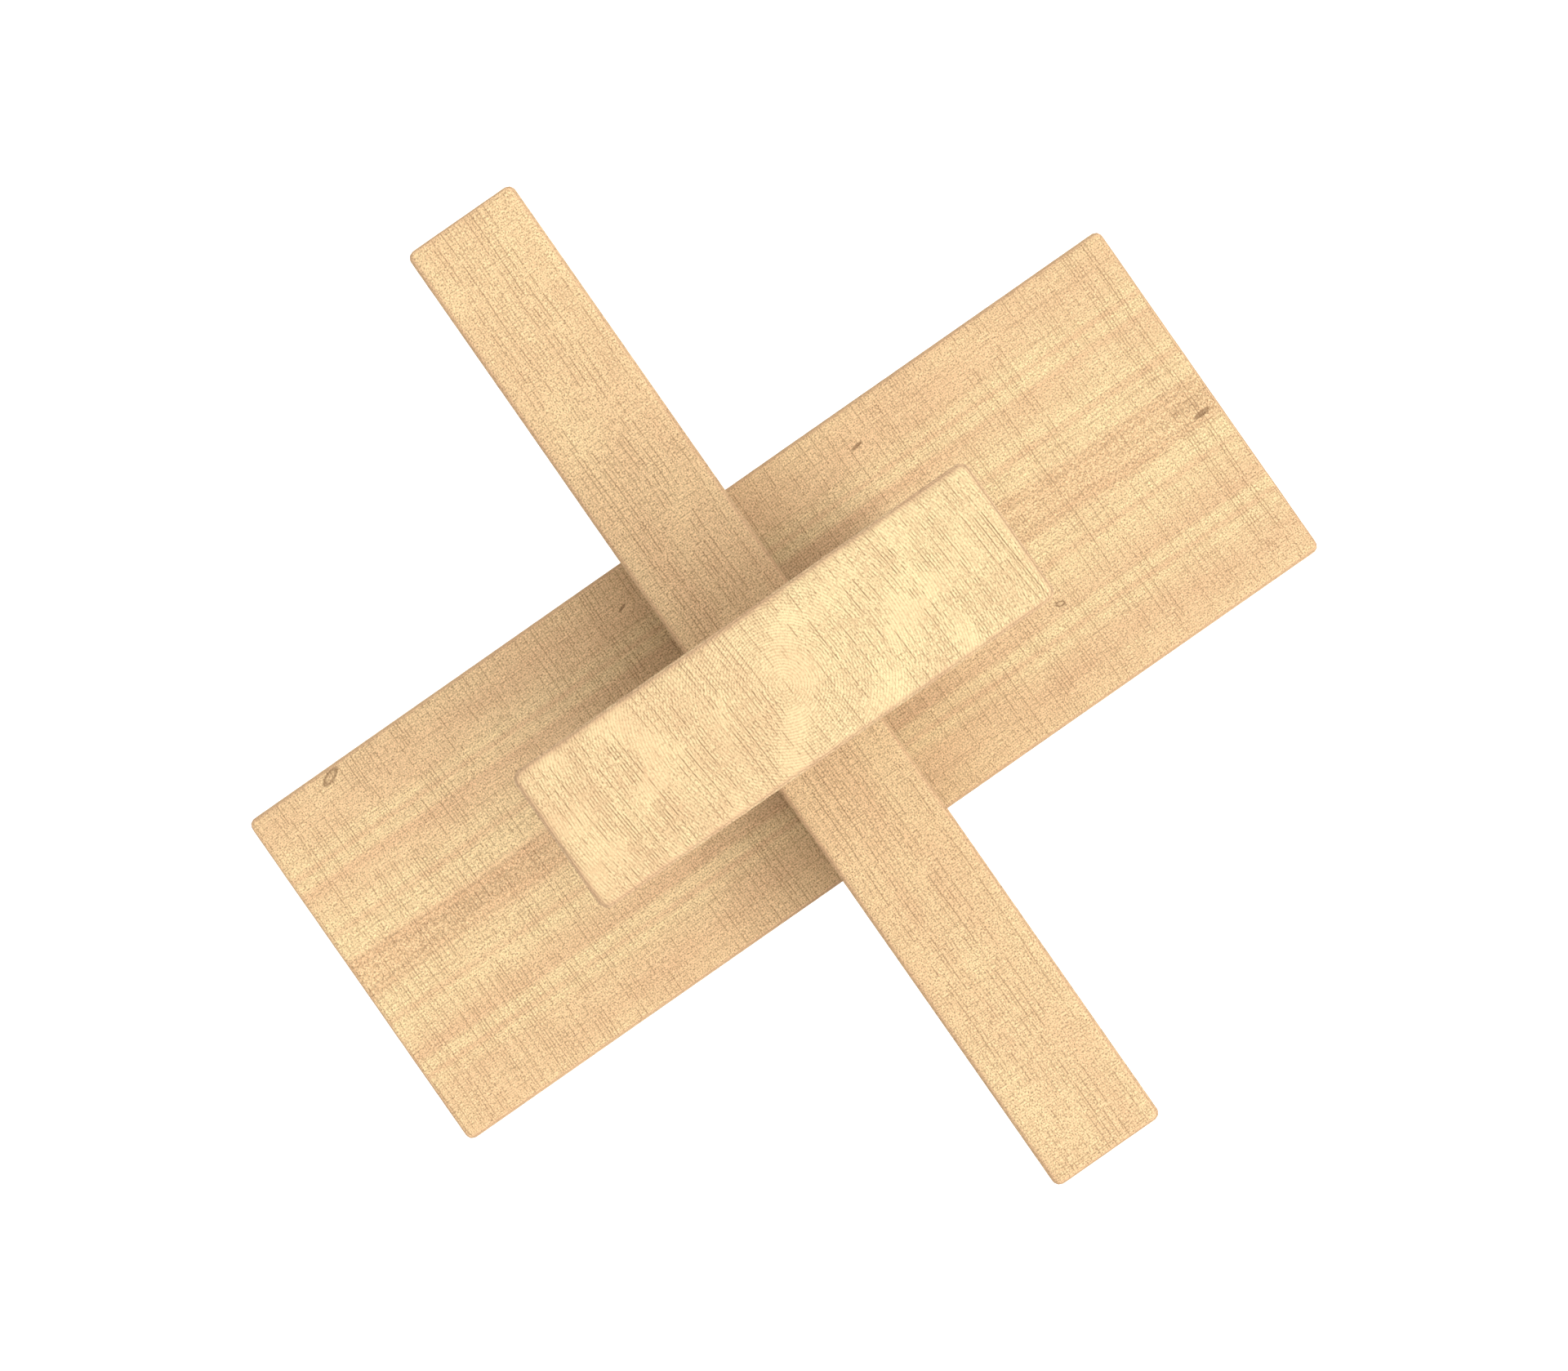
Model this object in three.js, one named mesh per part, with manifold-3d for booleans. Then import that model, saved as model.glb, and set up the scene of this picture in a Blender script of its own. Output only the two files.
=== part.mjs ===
import * as THREE from 'three';
import { RoundedBoxGeometry } from 'three/addons/geometries/RoundedBoxGeometry.js';
import { mergeVertices } from 'three/addons/utils/BufferGeometryUtils.js';
import Module from 'manifold-3d';

// A burr puzzle of three flat wooden boards that cross at right angles and lock through the slots
// in their middles. Millimetres, +Z up. The origin is the middle of the upright board's lower end.

// Board stock. All three boards are cut from the same strip.
const boardLength = 80;
const boardWidth = 30;
const boardThickness = 9;
const edgeRadius = 0.6;            // sanded outer edges
const edgeFacets = 3;              // flats that round half of each sanded edge

// Fits.
const slideClearance = 0.3;        // on each side of whatever slides in a slot or a channel
const cutterOverrun = 1;           // how far a cutter reaches past the face that it opens

// Worked out from the stock and the fit.
const slotWidth = boardThickness + 2 * slideClearance;
const slotLength = boardWidth + 2 * slideClearance;
const barWidth = (boardWidth - slotWidth) / 2;             // the wood left on each side of a slot
const barChannelWidth = barWidth + 2 * slideClearance;     // lets a bar out sideways
const boardChannelWidth = slotWidth;                       // lets a board in edgeways

const wasm = await Module();
wasm.setup();

function toSolid(geometry) {
  geometry.deleteAttribute('normal');
  geometry.deleteAttribute('uv');
  const merged = mergeVertices(geometry);
  return new wasm.Manifold(new wasm.Mesh({
    numProp: 3,
    vertProperties: new Float32Array(merged.attributes.position.array),
    triVerts: new Uint32Array(merged.index.array),
  }));
}

function toGeometry(solid) {
  const { vertProperties, triVerts } = solid.getMesh();
  const geometry = new THREE.BufferGeometry();
  geometry.setAttribute('position', new THREE.BufferAttribute(vertProperties, 3));
  geometry.setIndex(new THREE.BufferAttribute(triVerts, 1));
  geometry.computeVertexNormals();
  return geometry;
}

// Every board is made lying flat: length along X, width along Y, thickness along Z.

function blank() {
  return toSolid(new RoundedBoxGeometry(
    boardLength, boardWidth, boardThickness, edgeFacets, edgeRadius));
}

function throughCutter(lengthwise, lowY, highY) {
  const depth = boardThickness + 2 * cutterOverrun;
  const cutter = new THREE.BoxGeometry(lengthwise, highY - lowY, depth);
  cutter.translate(0, (lowY + highY) / 2, 0);
  return toSolid(cutter);
}

// The slot that a neighbouring board stands in, in the middle of the board.
function slot() {
  return throughCutter(slotLength, -slotWidth / 2, slotWidth / 2);
}

// An opening from the slot out through the board's +Y edge.
function channel(width) {
  return throughCutter(width, 0, boardWidth / 2 + cutterOverrun);
}

function wood(color) {
  return new THREE.MeshStandardMaterial({ color, roughness: 0.7, metalness: 0 });
}

// A third of a turn about the body diagonal takes X to Y, Y to Z and Z to X.
function board(name, solid, thirdsOfTurn, color) {
  const mesh = new THREE.Mesh(toGeometry(solid), wood(color));
  const diagonal = new THREE.Vector3(1, 1, 1).normalize();
  mesh.name = name;
  mesh.quaternion.setFromAxisAngle(diagonal, thirdsOfTurn * 2 * Math.PI / 3);
  return mesh;
}

// Lies level, long side along X. Its closed slot holds the upright board.
function levelBoard() {
  return board('level_board', blank().subtract(slot()), 0, '#e9c48f');
}

// Stands on its long edge, long side along Y. Its slot holds the level board, and the channel in
// its top edge straddles the upright board, so one bar is left under the crossing.
function edgeBoard() {
  const solid = blank().subtract(slot()).subtract(channel(boardChannelWidth));
  return board('edge_board', solid, 1, '#edcb96');
}

// Stands on its end, long side along Z. Its slot holds the edge board's bar, which leaves
// sideways through the channel once it is lifted level with it.
function uprightBoard() {
  const solid = blank().subtract(slot()).subtract(channel(barChannelWidth));
  return board('upright_board', solid, 2, '#e6c18c');
}

const crossing = new THREE.Group();
crossing.position.z = boardLength / 2;
crossing.add(levelBoard(), edgeBoard(), uprightBoard());

const puzzle = new THREE.Group();
puzzle.add(crossing);

export default puzzle;
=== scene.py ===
import math

import bmesh
import bpy
from mathutils import Matrix, Vector


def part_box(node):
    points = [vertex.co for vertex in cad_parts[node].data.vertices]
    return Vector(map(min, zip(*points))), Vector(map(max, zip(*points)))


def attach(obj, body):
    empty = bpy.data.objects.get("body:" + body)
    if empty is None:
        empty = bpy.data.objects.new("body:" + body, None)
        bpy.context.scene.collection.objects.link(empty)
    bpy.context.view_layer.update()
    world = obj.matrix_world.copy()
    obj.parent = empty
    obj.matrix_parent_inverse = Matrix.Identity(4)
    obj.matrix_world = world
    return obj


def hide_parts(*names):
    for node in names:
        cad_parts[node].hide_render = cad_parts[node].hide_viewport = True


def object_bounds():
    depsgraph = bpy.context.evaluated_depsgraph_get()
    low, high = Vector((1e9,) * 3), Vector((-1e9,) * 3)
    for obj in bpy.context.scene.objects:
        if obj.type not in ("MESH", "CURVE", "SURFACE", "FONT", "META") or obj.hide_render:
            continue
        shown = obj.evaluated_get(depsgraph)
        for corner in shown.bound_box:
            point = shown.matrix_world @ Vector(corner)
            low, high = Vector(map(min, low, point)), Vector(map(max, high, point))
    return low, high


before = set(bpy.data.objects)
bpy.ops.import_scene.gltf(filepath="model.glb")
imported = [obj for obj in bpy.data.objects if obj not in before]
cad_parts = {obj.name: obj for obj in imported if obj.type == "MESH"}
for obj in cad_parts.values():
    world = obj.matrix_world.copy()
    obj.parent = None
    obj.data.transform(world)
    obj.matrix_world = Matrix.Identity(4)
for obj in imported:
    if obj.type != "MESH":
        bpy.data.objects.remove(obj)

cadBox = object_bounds()
perMetre = 1000.0              # the sizes below are in mm


# one node's output socket, with sums written as Python expressions
class Wire:
    def __init__(self, sheet, socket):
        self.sheet = sheet
        self.socket = socket

    def __add__(self, other):
        return self.sheet.sum("ADD", self, other)

    def __radd__(self, other):
        return self.sheet.sum("ADD", other, self)

    def __sub__(self, other):
        return self.sheet.sum("SUBTRACT", self, other)

    def __rsub__(self, other):
        return self.sheet.sum("SUBTRACT", other, self)

    def __mul__(self, other):
        return self.sheet.sum("MULTIPLY", self, other)

    def __rmul__(self, other):
        return self.sheet.sum("MULTIPLY", other, self)

    def __truediv__(self, other):
        return self.sheet.sum("DIVIDE", self, other)

    def __rtruediv__(self, other):
        return self.sheet.sum("DIVIDE", other, self)

    def __pow__(self, other):
        return self.sheet.sum("POWER", self, other)

    def __gt__(self, other):
        return self.sheet.sum("GREATER_THAN", self, other)

    def __abs__(self):
        return self.sheet.sum("ABSOLUTE", self)

    def __neg__(self):
        return self.sheet.sum("MULTIPLY", self, -1.0)


# a node tree: the board's Geometry Nodes and the wood's shader are both written on one
class Sheet:
    def __init__(self, tree):
        self.tree = tree

    def pick(self, sockets, key):
        if isinstance(key, int):
            return sockets[key]
        return next(s for s in sockets if key in (s.identifier, s.name))

    # any node: its kind, its settings, then what goes into its sockets
    def node(self, kind, settings=None, sockets=None, out=0):
        made = self.tree.nodes.new(kind)
        made.location.x = 170 * len(self.tree.nodes)
        for name, value in (settings or {}).items():
            if name == "stops":
                self.setStops(made.color_ramp, value)
            else:
                setattr(made, name, value)
        for key, value in (sockets or {}).items():
            socket = self.pick(made.inputs, key)
            if isinstance(value, Wire):
                self.tree.links.new(value.socket, socket)
            else:
                socket.default_value = value
        if isinstance(out, tuple):
            return [Wire(self, self.pick(made.outputs, key)) for key in out]
        return Wire(self, self.pick(made.outputs, out)) if len(made.outputs) else made

    def setStops(self, ramp, stops):
        while len(ramp.elements) < len(stops):
            ramp.elements.new(1.0)
        for element, (place, colour) in zip(ramp.elements, stops):
            element.position = place
            element.color = colour

    def sum(self, operation, *values):
        return self.node("ShaderNodeMath", {"operation": operation}, dict(enumerate(values)))

    def larger(self, one, other):
        return self.sum("MAXIMUM", one, other)

    def smaller(self, one, other):
        return self.sum("MINIMUM", one, other)

    # 0 below low, 1 above high, eased between
    def step(self, value, low, high):
        return self.node("ShaderNodeMapRange", {"interpolation_type": "SMOOTHSTEP"},
                         {"Value": value, "From Min": low, "From Max": high})

    def vector(self, x, y, z):
        return self.node("ShaderNodeCombineXYZ", {}, {"X": x, "Y": y, "Z": z})

    def split(self, vector):
        return self.node("ShaderNodeSeparateXYZ", {}, {"Vector": vector}, out=("X", "Y", "Z"))

    def noise(self, x, y, z, detail=2.0, roughness=0.5):
        return self.node("ShaderNodeTexNoise", {"noise_dimensions": "3D"},
                         {"Vector": self.vector(x, y, z), "Scale": 1.0,
                          "Detail": detail, "Roughness": roughness})

    def blend(self, share, one, other):
        return self.node("ShaderNodeMix", {"data_type": "RGBA"},
                         {"Factor_Float": share, "A_Color": one, "B_Color": other},
                         out="Result_Color")


boardFit = {
    "clearance": 0.3,          # mm on each side of whatever slides in a slot
    "cell": 0.3,               # mm, size of the mesh's faces
    "edgeRadius": 0.6,         # mm, sanded outer edges
    "slotCorner": 0.4,         # mm, radius that the cutter leaves in a slot's corners
    "slotEase": 0.15,          # mm, radius on a slot's rims
    "easeBlend": 1.76,         # width of the smooth maximum that gives a radius of one
}
boardRelief = {
    "wave": 0.025,             # mm, slow unevenness of the planed faces
    "grain": 0.018,            # mm, raised grain along the length
    "chatter": 0.006,          # mm, ripple that the planer leaves across the length
    "chatterPitch": 1.35,      # mm
    "chatterDrift": 9.0,       # radians by which the ripple wanders
    # how fast each changes along, across and through a board, in 1/mm
    "waveRate": (0.07, 0.16, 0.16),
    "grainRate": (0.12, 1.1, 1.1),
    "driftRate": (0.2, 0.12, 0.12),
}
boards = {
    "levelBoard": {"node": "level_board", "body": "level", "turn": 0, "channel": None,
                   "slot": "level_board_wood", "seed": 3.0},
    "edgeBoard": {"node": "edge_board", "body": "edge", "turn": 1, "channel": "board",
                  "slot": "edge_board_wood", "seed": 11.0},
    "uprightBoard": {"node": "upright_board", "body": "upright", "turn": 2, "channel": "bar",
                     "slot": "upright_board_wood", "seed": 23.0},
}
thirdOfTurn = 2 * math.pi / 3
diagonal = Vector((1, 1, 1))


# a random pattern with its own rate along each axis, shifted along one of them by a board's seed
def pattern(sheet, spot, rates, seedAxis, seed, detail=2.0, roughness=0.5):
    moved = [place * rate for place, rate in zip(spot, rates)]
    moved[seedAxis] = moved[seedAxis] + seed
    return sheet.noise(*moved, detail=detail, roughness=roughness)


# distance to a box with round edges, below 0 inside it
def roundBox(sheet, places, halves, radius):
    overs = [abs(place) - (half - radius) for place, half in zip(places, halves)]
    outside = overs[0] * 0.0
    deepest = overs[0]
    for over in overs:
        past = sheet.larger(over, 0.0)
        outside = outside + past * past
        deepest = sheet.larger(deepest, over)
    return outside ** 0.5 + sheet.smaller(deepest, 0.0) - radius


# the boards' one shape rule: a strip with round edges, a slot through it, and for two of them a
# channel from the slot to one long edge
def makeBoardTree():
    tree = bpy.data.node_groups.new("slottedBoard", "GeometryNodeTree")
    sizes = ["Length", "Width", "Thickness", "Edge Radius", "Slot Length", "Slot Width",
             "Slot Corner", "Slot Ease", "Channel Width", "Cell", "Wave", "Grain", "Chatter",
             "Chatter Pitch", "Seed"]
    for name in sizes:
        tree.interface.new_socket(name=name, in_out="INPUT", socket_type="NodeSocketFloat")
    tree.interface.new_socket(name="Has Channel", in_out="INPUT", socket_type="NodeSocketBool")
    tree.interface.new_socket(name="Wood", in_out="INPUT", socket_type="NodeSocketMaterial")
    tree.interface.new_socket(name="Board", in_out="OUTPUT", socket_type="NodeSocketGeometry")
    sheet = Sheet(tree)
    names = [item.name for item in tree.interface.items_tree if item.in_out == "INPUT"]
    given = dict(zip(names, sheet.node("NodeGroupInput", out=tuple(names))))

    x, y, z = sheet.split(sheet.node("GeometryNodeInputPosition"))
    length, width, thickness = given["Length"], given["Width"], given["Thickness"]
    corner, margin = given["Slot Corner"], given["Cell"] * 4.0
    strip = roundBox(sheet, (x, y, z), (length * 0.5, width * 0.5, thickness * 0.5),
                     given["Edge Radius"])
    slot = roundBox(sheet, (x, y), (given["Slot Length"] * 0.5, given["Slot Width"] * 0.5), corner)
    reach = width * 0.25 + margin                 # half of the way from the middle to past the edge
    channel = roundBox(sheet, (x, y - reach), (given["Channel Width"] * 0.5, reach), corner)
    soft = given["Slot Ease"] * boardFit["easeBlend"]
    both = sheet.sum("SMOOTH_MIN", slot, channel, soft)
    opening = sheet.node("GeometryNodeSwitch", {"input_type": "FLOAT"},
                         {"Switch": given["Has Channel"], "False": slot, "True": both})
    body = sheet.sum("SMOOTH_MAX", strip, -opening, soft)

    seed = given["Seed"]
    wave = pattern(sheet, (x, y, z), boardRelief["waveRate"], 0, seed) - 0.5
    grain = pattern(sheet, (x, y, z), boardRelief["grainRate"], 1, seed) - 0.5
    drift = pattern(sheet, (x, y, z), boardRelief["driftRate"], 2, seed) * boardRelief["chatterDrift"]
    chatter = sheet.sum("SINE", x * (2 * math.pi) / given["Chatter Pitch"] + drift)
    relief = wave * given["Wave"] + grain * given["Grain"] + chatter * given["Chatter"] * 0.5

    halfSpans = [size * 0.5 + margin for size in (length, width, thickness)]
    counts = [half * 2.0 / given["Cell"] for half in halfSpans]
    volume = sheet.node("GeometryNodeVolumeCube", {}, {
        "Density": relief - body, "Background": -1.0,
        "Min": sheet.vector(*[-half for half in halfSpans]), "Max": sheet.vector(*halfSpans),
        "Resolution X": counts[0], "Resolution Y": counts[1], "Resolution Z": counts[2]})
    skin = sheet.node("GeometryNodeVolumeToMesh", {"resolution_mode": "GRID"},
                      {"Volume": volume, "Threshold": 0.0})
    inwards = sheet.node("ShaderNodeVectorMath", {"operation": "SCALE"},
                         {"Vector": sheet.node("GeometryNodeInputNormal"), "Scale": relief - body})
    settled = sheet.node("GeometryNodeSetPosition", {}, {"Geometry": skin, "Offset": inwards})
    smooth = sheet.node("GeometryNodeSetShadeSmooth", {}, {"Geometry": settled})
    whole = sheet.node("GeometryNodeRealizeInstances", {}, {"Geometry": smooth})
    done = sheet.node("GeometryNodeSetMaterial", {}, {"Geometry": whole, "Material": given["Wood"]})
    sheet.node("NodeGroupOutput", {}, {"Board": done})
    return tree


# a plain mesh from the tree, in mm, lying flat with its length along X
def growBoard(name, tree, inputs):
    seedMesh = bpy.data.meshes.new(name + "Seed")
    holder = bpy.data.objects.new(name + "Seed", seedMesh)
    bpy.context.scene.collection.objects.link(holder)
    modifier = holder.modifiers.new("board", "NODES")
    modifier.node_group = tree
    for item in tree.interface.items_tree:
        if item.in_out == "INPUT":
            modifier[item.identifier] = inputs[item.name]
    holder.update_tag()
    evaluated = holder.evaluated_get(bpy.context.evaluated_depsgraph_get())
    mesh = bpy.data.meshes.new_from_object(evaluated)
    bpy.data.objects.remove(holder)
    bpy.data.meshes.remove(seedMesh)
    return mesh


woodLook = {
    "yellow": (0.835, 0.655, 0.352, 1.0),   # early wood
    "tan": (0.725, 0.485, 0.268, 1.0),      # late wood
    "fleck": (0.46, 0.28, 0.145, 1.0),      # ray flecks
    "worm": (0.33, 0.15, 0.06, 1.0),        # coarse flecks in the middle of a face
    "line": (0.19, 0.10, 0.04, 1.0),        # open pores and cutter lines
    "paintedEdgeShade": (0.70, 0.44, 0.25, 1.0),       # painted shade: a darker orange on the rounded outer edges, where they turn from the light
    "thrown": (0.24, 0.15, 0.10, 1.0),      # dulls the light that boards throw on each other
    # growth rings about the board's long axis: radius in mm, share of late wood
    "rings": [(0.0, 0.7), (2.2, 0.65), (3.0, 0.5), (4.5, 0.6), (4.72, 0.8), (4.95, 0.35), (5.7, 0.3),
              (6.02, 0.85), (6.4, 0.2), (7.0, 0.45), (8.3, 0.75), (8.85, 0.95), (9.3, 0.25),
              (9.8, 0.25), (10.15, 0.9), (10.6, 0.25), (11.4, 0.65), (13.0, 0.8), (15.2, 0.65),
              (17.0, 0.5)],
    "outerRing": 17.0,                      # mm, radius where the list of rings ends
    "ringWander": 0.5,                      # mm
    "edgeLate": 0.65,                       # share of late wood on the long edges
    "endLate": 0.3,                         # how much the rings, and the tan half, show on an end
    "ringPitch": 0.165,                     # mm between the fine rings
    "ringWobble": 0.7,                      # of that pitch
    "ripplePitch": 0.17,                    # mm between the ripples on the long edges
    "linePitch": (0.25, 0.17, 0.27),        # mm between pore lines on faces, ends, long edges
    "lineLength": (0.5, 0.7, 0.7),          # mm, usual length of a pore line on each
    "lineWidth": 0.04,                      # mm
    "weftPitch": 0.24,                      # mm between the finer lines that cross them
    "grainPitch": 0.33,                     # mm between the grain lines along a face
    "poreBend": 3.0,                        # pitches by which the pore lines wander
    "weftBend": 2.0,                        # and the crossing lines
    "poreStray": 0.6,                       # of a pitch, by which one line leaves its place
    "weftStray": 0.5,
    "grainStray": 0.5,
    "poreShuffle": (11.0, 7.31, 9.0),       # set the gaps in one line apart from the next line's
    "weftShuffle": (7.0, 5.17),
    "poreCrowding": 0.16,                   # how much longer lines are where the marks crowd
    "poreEdge": (0.5, 1.6),                 # half widths between which a line fades out
    "endWiden": 0.3,                        # how much wider it is on an end
    "endSlant": 0.06,                       # sideways run of the lines on an end
    "endQuiet": 0.15,                       # how much fainter they are in its calm parts
    "endGrain": 0.2,                        # how strongly the grain lines show on an end
    "flatWander": 2.4,                      # mm by which the coarse strip on a face wanders
    "fleckByRing": 0.1,                     # how much more the flecks show on the fine rings
    "lineByRing": 0.35,                     # the same for the pore lines
    "brightness": 1.1,
    "endDimmer": 0.06,
    "ringShade": 0.08,                      # how dark the fine rings are, and once more on an end
    "roughness": 0.62,
    "rougher": {"cloud": 0.2, "line": 0.2, "fleck": 0.1},
    "gloss": 0.3,                           # a dry, unvarnished surface
    "bump": 0.8,
    "bumpDistance": 0.001,                  # m, so that the depths below are in mm
}
# share of a mark's colour where it shows fully
woodShares = {"fleck": 0.3, "worm": 0.4, "scar": 0.7, "paintedEdgeShade": 0.5, "thrown": 0.62}
# the same for marks that are weaker on ends: on a face, less on an end, less in an end's calm parts
woodEndShares = {
    "grit": (0.55, 0.15, 0.26),
    "tick": (0.2, 0.0, 0.08),
    "dot": (0.62, 0.17, 0.35),
    "mottle": (1.1, 0.6, 0.2),              # light and dark, not a colour
}
# the same for lines: the faintest line, what the strongest adds, and the power of the share between
woodLineShares = {
    "halo": (0.08, 0.35, 1.0),
    "pore": (0.25, 0.6, 2.0),
    "weft": (0.16, 0.36, 1.0),
    "grain": (0.1, 0.4, 3.0),
}
# how deep each mark goes, in mm
woodDepths = {"grit": 0.02, "ring": 0.004, "line": 0.03, "scar": 0.06, "fleck": 0.006}
# how fast each pattern changes along, across and through a board, in 1/mm
woodRates = {
    "sway": (0.045, 0.11, 0.11),            # wander of the rings
    "cloud": (0.12, 0.5, 0.5),              # broad paler and darker patches
    "wobble": (1.1, 1.1, 1.1),              # unevenness of the fine rings
    "crowd": (0.22, 0.3, 0.3),              # where the marks crowd together
    "speck": (2.6, 4.4, 4.4),               # fine flecks
    "blot": (4.2, 6.0, 6.0),                # coarse flecks
    "bend": (0.1, 0.1, 0.1),                # wander of the lines
    "grit": (12.5, 6.5),                    # finest mottling, across the lines and along them
    "weftBreak": 2.2,                       # gaps in the finer crossing lines
}
# between which two values each mark comes in
woodFades = {
    "side": (0.66, 0.76),                   # how squarely a surface faces an axis
    "endHalf": (-4.0, 5.0),                 # mm, from the tan half of an end to the yellow half
    "flat": (1.2, 2.3),                     # mm from the middle of a face
    "dense": (0.3, 0.56),
    "fleck": (0.53, 0.7),
    "grit": (0.44, 0.7),
    "worm": (0.51, 0.55),
    "haloGap": (0.44, 0.6),
    "haloSide": (0.1, 0.5),
    "lineGap": (0.42, 0.53),
    "weftSide": (0.05, 0.19),
    "weftGap": (0.45, 0.58),
    "grainSide": (0.06, 0.2),
    "grainGap": (0.4, 0.54),
    "tickWave": (0.6, 0.95),
    "tickGrit": (0.42, 0.6),
    "dot": (0.55, 0.68),
    "scarRim": (0.8, 1.25),
    "scarHollow": (0.3, 0.85),
    # painted shade on the rounded edges: squareness between which it fades out towards the flat faces
    "paintedEdgeShade": (0.8, 0.96),
}
# small scars on each board: along, across, half length, half width in mm, slant in degrees, and
# how hollow its middle is
scars = {
    "levelBoard": [(15.1, 11.9, 0.5, 0.13, 8, 0.2), (38.3, -1.2, 0.75, 0.2, 4, 0.0),
                   (21.0, -7.0, 0.42, 0.22, -20, 0.9), (-6.8, 12.0, 0.4, 0.1, 20, 0.1),
                   (-32.6, 14.2, 0.9, 0.35, 22, 0.8)],
    "edgeBoard": [(-24.0, 5.2, 0.6, 0.16, 12, 0.1), (31.0, -9.4, 0.4, 0.2, -6, 0.8)],
    "uprightBoard": [(-29.5, 8.1, 0.5, 0.14, -8, 0.2), (26.2, -3.9, 0.7, 0.25, 5, 0.9)],
}


# a point's place in mm along, across and through its board, and its surface's direction likewise
def boardAxes(sheet, turn, heart):
    place = sheet.node("ShaderNodeTexCoord", out="Object")
    facing = sheet.node("ShaderNodeTexCoord", out="Normal")
    local = [(axis - heart[i]) * perMetre for i, axis in enumerate(sheet.split(place))]
    normal = sheet.split(facing)
    return local[turn:] + local[:turn], normal[turn:] + normal[:turn]


# how far one of the marks in woodFades has come in
def fade(sheet, value, name):
    return sheet.step(value, *woodFades[name])


def endShare(name, onEnd, calm):
    face, end, quiet = woodEndShares[name]
    return face - onEnd * end - calm * quiet


def lineShare(name, own):
    faintest, more, power = woodLineShares[name]
    return faintest + own ** power * more


# lines in lanes one unit wide: each lane's number, its own random share, and the distance from its
# line, which strays from the middle of the lane
def lanes(sheet, lane, stray, seed=0.0):
    number = sheet.sum("FLOOR", lane)
    own = sheet.node("ShaderNodeTexWhiteNoise", {"noise_dimensions": "1D"}, {"W": number + seed})
    return number, own, abs(lane - number - 0.5 + (own - 0.5) * stray)


# share of late wood by radius, from the list of rings
def lateShare(sheet, radius):
    outer = woodLook["outerRing"]
    stops = [(r / outer, (late, late, late, 1.0)) for r, late in woodLook["rings"]]
    late = sheet.node("ShaderNodeValToRGB", {"stops": stops}, {"Fac": radius / outer}, out="Color")
    return sheet.node("ShaderNodeRGBToBW", {}, {"Color": late})


# broken pore lines: across the faces, through the ends and along the long edges
def poreLines(sheet, spot, sides, bend, dense, seed):
    along, across, through = spot
    onFace, onEnd, onEdge = sides
    pitches, lengths = woodLook["linePitch"], woodLook["lineLength"]
    crossing = (along * onFace / pitches[0]
                + (across + through * woodLook["endSlant"]) * onEnd / pitches[1]
                + through * onEdge / pitches[2])
    run = across * onFace / lengths[0] + through * onEnd / lengths[1] + along * onEdge / lengths[2]
    bent = crossing + bend * woodLook["poreBend"] + seed
    number, own, offset = lanes(sheet, bent, woodLook["poreStray"])
    first, second, third = woodLook["poreShuffle"]
    gaps = sheet.noise(run + own * first, number * second, own * third + seed, roughness=0.6)
    opened = gaps + (dense - 0.5) * woodLook["poreCrowding"]
    halo = fade(sheet, opened, "haloGap") * (1.0 - fade(sheet, offset, "haloSide"))
    halfWidth = woodLook["lineWidth"] * 0.5 / pitches[0] * (1.0 + onEnd * woodLook["endWiden"])
    lines = 1.0 - sheet.step(offset, *[halfWidth * share for share in woodLook["poreEdge"]])
    lines = lines * fade(sheet, opened, "lineGap")
    quiet = onEnd * (1.0 - dense) * woodLook["endQuiet"]
    return halo * lineShare("halo", own), lines * (lineShare("pore", own) - quiet)


# finer lines that cross them on faces and long edges, like a weave
def weftLines(sheet, spot, sides, bend, seed):
    along, across, through = spot
    onFace, onEnd, onEdge = sides
    crossing = (across * onFace + along * onEdge) / woodLook["weftPitch"]
    bent = crossing + bend * woodLook["weftBend"]
    number, own, offset = lanes(sheet, bent, woodLook["weftStray"])
    run = (along * onFace + through * onEdge) * woodRates["weftBreak"]
    first, second = woodLook["weftShuffle"]
    broken = sheet.noise(run + own * first, number * second, seed, roughness=0.6)
    lines = (1.0 - fade(sheet, offset, "weftSide")) * fade(sheet, broken, "weftGap")
    return lines * lineShare("weft", own) * (1.0 - onEnd)


# grain lines along the board where a ring leaves the face, broken like the pore lines
def grainLines(sheet, sides, radius, speck, flat, seed):
    onFace, onEnd = sides[:2]
    lane = radius / woodLook["grainPitch"]
    own, offset = lanes(sheet, lane, woodLook["grainStray"], seed)[1:]
    lines = (1.0 - fade(sheet, offset, "grainSide")) * fade(sheet, speck, "grainGap")
    return lines * lineShare("grain", own) * (onFace * (1.0 - flat) + onEnd * woodLook["endGrain"])


# scars on the face that looks up when the board lies flat
def scarMarks(sheet, spot, faceNormal, rows):
    along, across = spot[:2]
    marks = along * 0.0
    for x, y, halfLong, halfWide, slant, hollow in rows:
        turned = math.radians(slant)
        dx, dy = along - x, across - y
        p = (dx * math.cos(turned) + dy * math.sin(turned)) / halfLong
        q = (dy * math.cos(turned) - dx * math.sin(turned)) / halfWide
        reach = (p * p + q * q) ** 0.5
        filled = (1.0 - fade(sheet, reach, "scarRim")) * (faceNormal > 0.5)
        mark = filled * (1.0 - hollow * (1.0 - fade(sheet, reach, "scarHollow")))
        marks = sheet.larger(marks, mark)
    return marks


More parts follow.
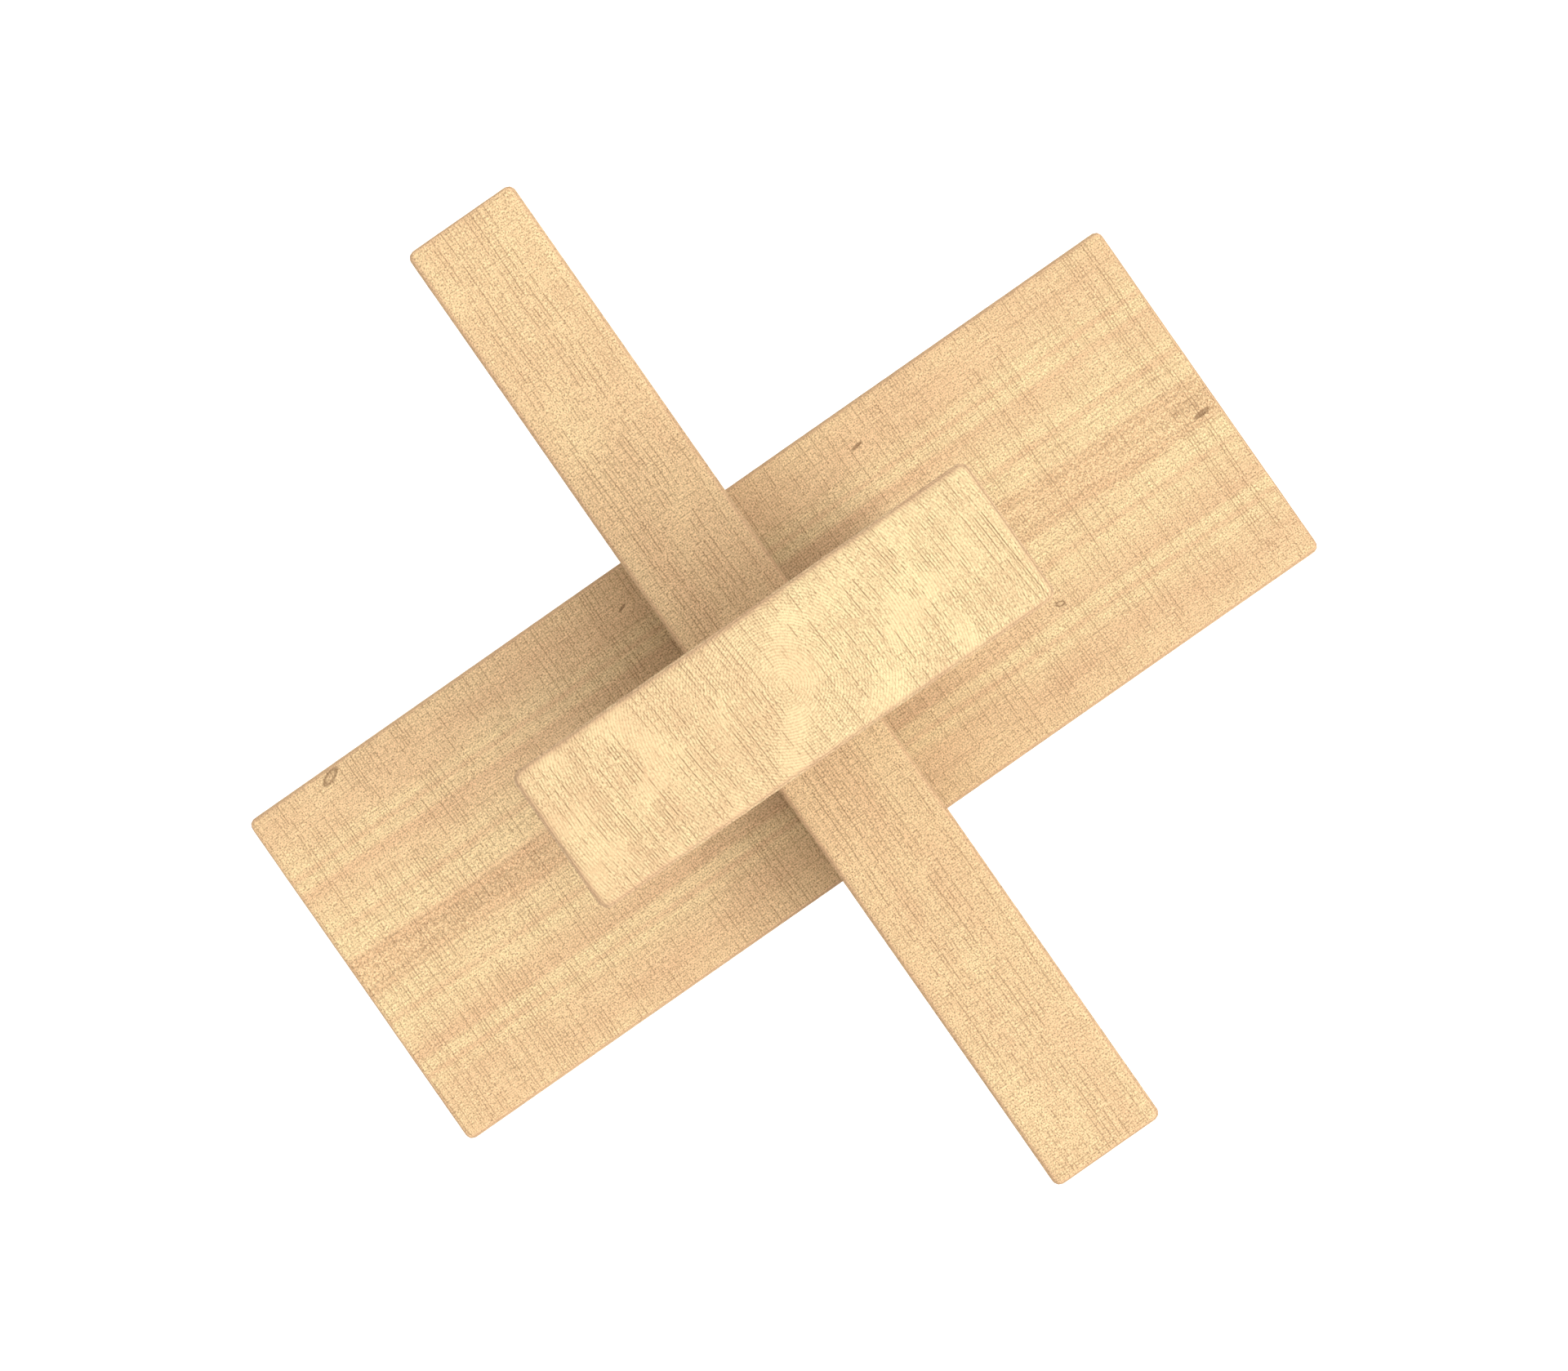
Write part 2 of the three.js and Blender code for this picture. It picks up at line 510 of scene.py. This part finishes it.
def makeWood(name, board, heart):
    material = bpy.data.materials.new(name + "Wood")
    material.use_nodes = True
    material.node_tree.nodes.clear()
    sheet = Sheet(material.node_tree)
    seed = board["seed"]
    spot, normal = boardAxes(sheet, board["turn"], heart)
    along, across, through = spot
    squareness = [abs(part) for part in normal]
    onEnd = fade(sheet, squareness[0], "side")
    onEdge = fade(sheet, squareness[1], "side")
    onFace = 1.0 - sheet.larger(onEnd, onEdge)
    sides = (onFace, onEnd, onEdge)

    # growth rings, a little wavy along the board
    sway = pattern(sheet, spot, woodRates["sway"], 0, seed) - 0.5
    cloud = pattern(sheet, spot, woodRates["cloud"], 1, seed, detail=3.0)
    radius = (across * across + through * through) ** 0.5 + sway * woodLook["ringWander"]
    late = lateShare(sheet, radius)
    endLate = woodLook["endLate"]
    tone = late * onFace + onEdge * woodLook["edgeLate"] + (cloud - 0.5)
    tone = tone + onEnd * (late * endLate + endLate - fade(sheet, across, "endHalf") * endLate)
    tone = sheet.larger(sheet.smaller(tone, 1.0), 0.0)
    colour = sheet.blend(tone, woodLook["yellow"], woodLook["tan"])

    # fine rings on ends and faces, the ripple on the long edges, and the finest mottling
    wobble = pattern(sheet, spot, woodRates["wobble"], 2, seed, detail=1.0)
    fine = radius * (1.0 - onEdge) / woodLook["ringPitch"] + along * onEdge / woodLook["ripplePitch"]
    fine = (fine + wobble * woodLook["ringWobble"]) * (2 * math.pi)
    fineWave = sheet.sum("SINE", fine) * 0.5 + 0.5
    lineWay = across * onFace + through * onEnd + along * onEdge
    crossWay = along * onFace + across * onEnd + through * onEdge
    crossRate, lineRate = woodRates["grit"]
    grit = sheet.noise(crossWay * crossRate, lineWay * lineRate, seed, detail=1.5, roughness=0.75)
    dense = fade(sheet, pattern(sheet, spot, woodRates["crowd"], 2, seed, detail=1.0), "dense")
    calm = onEnd * (1.0 - dense)                  # the parts of an end with few marks

    # flecks, coarse and crowded where the middle of a face cuts the rings flat
    flat = (1.0 - fade(sheet, abs(across) + sway * woodLook["flatWander"], "flat")) * onFace
    speck = pattern(sheet, spot, woodRates["speck"], 1, seed, roughness=0.65)
    flecks = speck + (fineWave - 0.5) * woodLook["fleckByRing"]
    flecks = fade(sheet, flecks, "fleck") * woodShares["fleck"]
    flecks = sheet.larger(flecks, fade(sheet, grit, "grit") * endShare("grit", onEnd, calm))
    colour = sheet.blend(flecks, colour, woodLook["fleck"])
    worms = fade(sheet, pattern(sheet, spot, woodRates["blot"], 0, seed), "worm") * flat
    colour = sheet.blend(worms * woodShares["worm"], colour, woodLook["worm"])

    # the lines, with ticks on the fine rings and dark dots between them
    bend = pattern(sheet, spot, woodRates["bend"], 2, seed, detail=1.0)
    halo, lines = poreLines(sheet, spot, sides, bend, dense, seed)
    colour = sheet.blend(halo, colour, woodLook["fleck"])
    ticks = fade(sheet, fineWave, "tickWave") * fade(sheet, grit, "tickGrit")
    ticks = ticks * endShare("tick", onEnd, calm)
    dots = fade(sheet, grit, "dot") * endShare("dot", onEnd, calm)
    byRing = woodLook["lineByRing"]
    lines = lines * (1.0 - byRing + fineWave * byRing)
    others = (ticks, dots, grainLines(sheet, sides, radius, speck, flat, seed),
              weftLines(sheet, spot, sides, bend, seed))
    for other in others:
        lines = sheet.larger(lines, other)
    colour = sheet.blend(lines, colour, woodLook["line"])
    scar = scarMarks(sheet, spot, normal[2], scars[name])
    colour = sheet.blend(scar * woodShares["scar"], colour, woodLook["line"])

    # painted shade on the rounded edges, light and dark along the grain, and the light thrown between
    # boards
    squarest = sheet.larger(sheet.larger(squareness[0], squareness[1]), squareness[2])
    paintedEdgeShade = 1.0 - fade(sheet, squarest, "paintedEdgeShade")
    colour = sheet.blend(paintedEdgeShade * woodShares["paintedEdgeShade"], colour, woodLook["paintedEdgeShade"])
    light = woodLook["brightness"] - onEnd * woodLook["endDimmer"]
    light = light - (grit - 0.5) * endShare("mottle", onEnd, calm)
    ringShade = woodLook["ringShade"]
    light = light - (fineWave - 0.5) * (ringShade + onEnd * ringShade)
    colour = sheet.node("ShaderNodeVectorMath", {"operation": "SCALE"},
                        {"Vector": colour, "Scale": light})
    thrown = sheet.node("ShaderNodeLightPath", out="Is Diffuse Ray")
    colour = sheet.blend(thrown * woodShares["thrown"], colour, woodLook["thrown"])

    rougher = woodLook["rougher"]
    rough = woodLook["roughness"] + (cloud - 0.5) * rougher["cloud"]
    rough = rough + lines * rougher["line"] + flecks * rougher["fleck"]
    height = (0.5 - grit) * woodDepths["grit"]
    for mark, depth in ((fineWave, "ring"), (lines, "line"), (scar, "scar"), (flecks, "fleck")):
        height = height - mark * woodDepths[depth]
    bump = sheet.node("ShaderNodeBump", {}, {
        "Strength": woodLook["bump"], "Distance": woodLook["bumpDistance"], "Height": height})
    shader = sheet.node("ShaderNodeBsdfPrincipled", {}, {
        "Base Color": colour, "Roughness": rough, "Normal": bump,
        "Specular IOR Level": woodLook["gloss"]})
    sheet.node("ShaderNodeOutputMaterial", {}, {"Surface": shader})
    return material


def makeBoards():
    tree = makeBoardTree()
    low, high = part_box("level_board")
    length, width, thickness = [perMetre * size for size in high - low]
    clearance = boardFit["clearance"]
    slotWidth = thickness + 2 * clearance
    channels = {"board": slotWidth, "bar": (width - slotWidth) / 2 + 2 * clearance, None: slotWidth}
    for name, board in boards.items():
        low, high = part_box(board["node"])
        heart = (low + high) / 2
        wood = makeWood(name, board, heart)
        mesh = growBoard(name, tree, {
            "Length": length, "Width": width, "Thickness": thickness,
            "Edge Radius": boardFit["edgeRadius"], "Slot Length": width + 2 * clearance,
            "Slot Width": slotWidth, "Slot Corner": boardFit["slotCorner"],
            "Slot Ease": boardFit["slotEase"], "Channel Width": channels[board["channel"]],
            "Cell": boardFit["cell"], "Wave": boardRelief["wave"], "Grain": boardRelief["grain"],
            "Chatter": boardRelief["chatter"], "Chatter Pitch": boardRelief["chatterPitch"],
            "Seed": board["seed"], "Has Channel": board["channel"] is not None, "Wood": wood})
        mesh.transform(Matrix.Translation(heart)
                       @ Matrix.Rotation(thirdOfTurn * board["turn"], 4, diagonal)
                       @ Matrix.Scale(1 / perMetre, 4))
        mesh.name = name
        piece = bpy.data.objects.new(name, mesh)
        bpy.context.scene.collection.objects.link(piece)
        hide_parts(board["node"])
        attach(piece, board["body"])
        print(name, len(mesh.polygons), "faces")


makeBoards()
print("boards made")


floorPlan = {"half": 1.5, "drop": 0.0001, "colour": (0.86, 0.86, 0.86, 1.0), "roughness": 0.9,
             "gloss": 0.0, "light": (1.0, 1.0, 1.0, 1.0), "glow": 0.8}
skyPlan = {"above": (0.84, 0.815, 0.82, 1.0), "below": (0.6, 0.6, 0.6, 1.0), "horizon": 0.1}
lamps = {
    "sideLamp": {"strength": 0.71, "softness": 40.0, "tilt": 25.0, "azimuth": 0.0},
    "wideLamp": {"strength": 0.93, "softness": 40.0, "tilt": 50.0, "azimuth": -45.0},
    "frontLamp": {"strength": 0.26, "softness": 18.0, "tilt": 30.0, "azimuth": -75.0},
    "hardLamp": {"strength": 0.2, "softness": 6.0, "tilt": 10.0, "azimuth": -77.0},
}
cameraPlan = {"aboveHeart": 0.123, "turn": -34.92, "lens": 35.41, "sensor": 36.0, "nearest": 0.01}


def makeFloor():
    mesh = bpy.data.meshes.new("floor")
    shape = bmesh.new()
    justUnder = Matrix.Translation((0, 0, -floorPlan["drop"]))      # the foot is a little uneven
    bmesh.ops.create_grid(shape, x_segments=1, y_segments=1, size=floorPlan["half"], matrix=justUnder)
    shape.to_mesh(mesh)
    shape.free()
    floor = bpy.data.objects.new("floor", mesh)
    bpy.context.scene.collection.objects.link(floor)
    paint = bpy.data.materials.new("floorWhite")
    paint.use_nodes = True
    shader = paint.node_tree.nodes["Principled BSDF"]
    shader.inputs["Base Color"].default_value = floorPlan["colour"]
    shader.inputs["Roughness"].default_value = floorPlan["roughness"]
    shader.inputs["Specular IOR Level"].default_value = floorPlan["gloss"]
    shader.inputs["Emission Color"].default_value = floorPlan["light"]
    shader.inputs["Emission Strength"].default_value = floorPlan["glow"]
    mesh.materials.append(paint)
    floor.visible_diffuse = False      # the wood takes no light back from the floor
    floor.visible_glossy = False


# a soft dome, brighter above than below, and large soft lamps
def makeLight():
    world = bpy.data.worlds.new("studio")
    world.use_nodes = True
    world.node_tree.nodes.clear()
    sheet = Sheet(world.node_tree)
    height = sheet.split(sheet.node("ShaderNodeTexCoord", out="Generated"))[2]
    upper = sheet.step(height, -skyPlan["horizon"], skyPlan["horizon"])
    glow = sheet.blend(upper, skyPlan["below"], skyPlan["above"])
    dome = sheet.node("ShaderNodeBackground", {}, {"Color": glow})
    sheet.node("ShaderNodeOutputWorld", {}, {"Surface": dome})
    bpy.context.scene.world = world
    for name, plan in lamps.items():
        lamp = bpy.data.lights.new(name, "SUN")
        lamp.energy = plan["strength"]
        lamp.angle = math.radians(plan["softness"])
        holder = bpy.data.objects.new(name, lamp)
        turn = math.radians(plan["azimuth"] + 90.0)
        holder.rotation_euler = (math.radians(plan["tilt"]), 0.0, turn)
        bpy.context.scene.collection.objects.link(holder)


def makeCamera():
    low, high = cadBox
    heart = (low + high) / 2
    lens = bpy.data.cameras.new("camera")
    lens.lens = cameraPlan["lens"]
    lens.sensor_width = cameraPlan["sensor"]
    lens.clip_start = cameraPlan["nearest"]
    camera = bpy.data.objects.new("camera", lens)
    camera.location = heart + Vector((0, 0, cameraPlan["aboveHeart"]))
    camera.rotation_euler = (0.0, 0.0, math.radians(cameraPlan["turn"]))
    bpy.context.scene.collection.objects.link(camera)
    bpy.context.scene.camera = camera


makeFloor()
makeLight()
makeCamera()
bpy.context.scene.view_settings.view_transform = "Standard"
print("floor, light and camera made")
